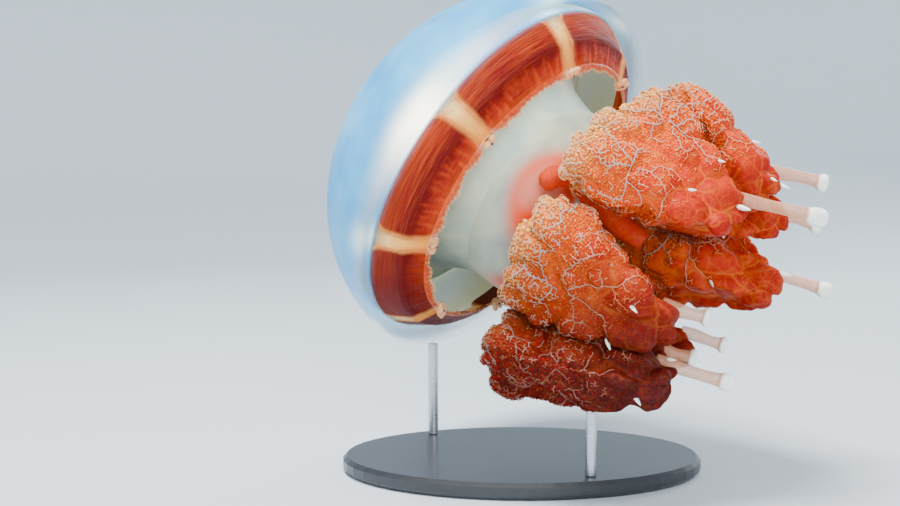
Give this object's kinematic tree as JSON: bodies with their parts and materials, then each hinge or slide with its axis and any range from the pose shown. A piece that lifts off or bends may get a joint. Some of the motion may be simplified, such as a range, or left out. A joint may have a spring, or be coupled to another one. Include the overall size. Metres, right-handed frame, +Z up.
{
  "type": "golden lagoon jellyfish display model",
  "caption": "Life-size still model of a swimming golden lagoon jellyfish: domed milky bell, orange ring muscle, frilled oral arms with clubs, on a low oval stand.",
  "frame": {"origin": "centre of the stand base's flat underside, on the surface it stands on", "axes": "+Z up; +X to the viewer's right, the way the arm clubs trail; +Y away from the viewer; the crown points towards -X, +Y and +Z"},
  "size_m": [0.1864, 0.1486, 0.1759],
  "materials": {
    "jelly": "milky translucent, wet gloss",
    "muscle": "fine circular streaks, satin",
    "frond": "granular frills with pale branching canals, moist satin",
    "club": "translucent shaft with an opaque white head",
    "base": "satin black",
    "steel": "brushed"
  },
  "bodies": {
    "root": {"bell_dome": "jelly", "bell_margin": "jelly", "arm_disc": "jelly", "muscle_1": "muscle", "muscle_2": "muscle", "muscle_3": "muscle", "muscle_4": "muscle", "muscle_5": "muscle", "muscle_6": "muscle", "muscle_7": "muscle", "muscle_8": "muscle", "pillar_1": "jelly", "pillar_2": "jelly", "pillar_3": "jelly", "pillar_4": "jelly", "arm_1": "frond", "club_1": "club", "arm_2": "frond", "club_2": "club", "arm_3": "frond", "club_3": "club", "arm_4": "frond", "club_4": "club", "arm_5": "frond", "club_5": "club", "arm_6": "frond", "club_6": "club", "arm_7": "frond", "club_7": "club", "arm_8": "frond", "club_8": "club", "stand_base": "base", "stand_rod_1": "steel", "stand_rod_2": "steel"}
  },
  "joints": []
}
